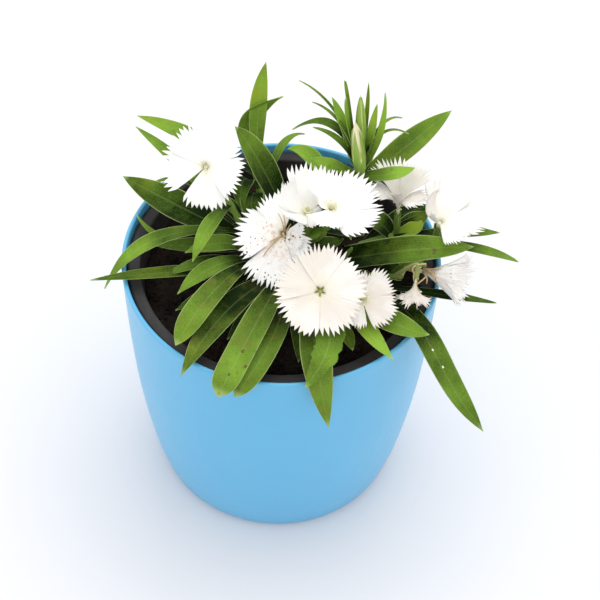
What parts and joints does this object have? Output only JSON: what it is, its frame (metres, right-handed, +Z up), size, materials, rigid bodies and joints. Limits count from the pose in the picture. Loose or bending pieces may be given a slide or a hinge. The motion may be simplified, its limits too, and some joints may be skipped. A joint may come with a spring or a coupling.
{
  "type": "potted dianthus plant",
  "caption": "Small flowering dianthus in a plastic nursery pot, standing in a round sky-blue cachepot, with white fringed blooms, buds and long green leaves.",
  "frame": {"origin": "middle of the cachepot's flat underside", "axes": "+Z up; -Y towards the side from which the front blooms and the hanging leaves are seen; +X to the right of that side"},
  "size_m": [0.186, 0.148, 0.208],
  "materials": {
    "cachepot_blue": "satin, smooth",
    "nursery_plastic": "matt, slightly dusty",
    "potting_soil": "moist, crumbly",
    "leaf_green": "satin, fine parallel veins, pale margins",
    "petal_white": "velvety, matt",
    "petal_faded": "dry, papery, browned",
    "bud_cream": "satin, furled"
  },
  "bodies": {
    "root": {"cachepot": "cachepot_blue", "nursery_pot": "nursery_plastic", "soil": "potting_soil", "leafy_stem_left": "leaf_green", "leafy_stem_left_low": "leaf_green", "leafy_stem_back_left": "leaf_green", "leafy_stem_middle": "leaf_green", "leafy_stem_front_left": "leaf_green", "leafy_stem_front": "leaf_green", "leafy_stem_front_right": "leaf_green", "leafy_stem_right": "leaf_green", "leafy_stem_low_right": "leaf_green", "leafy_stem_back": "leaf_green", "bloom_left": "petal_white", "bloom_middle": "petal_white", "bloom_top": "petal_white", "bloom_spent": "petal_white", "bloom_front": "petal_white", "bloom_front_right": "petal_white", "bloom_back_right": "petal_white", "bloom_right": "petal_white", "bloom_low_right": "petal_faded", "bloom_hanging": "petal_faded", "bud_petals_front": "bud_cream", "bud_petals_back": "bud_cream"}
  },
  "joints": []
}
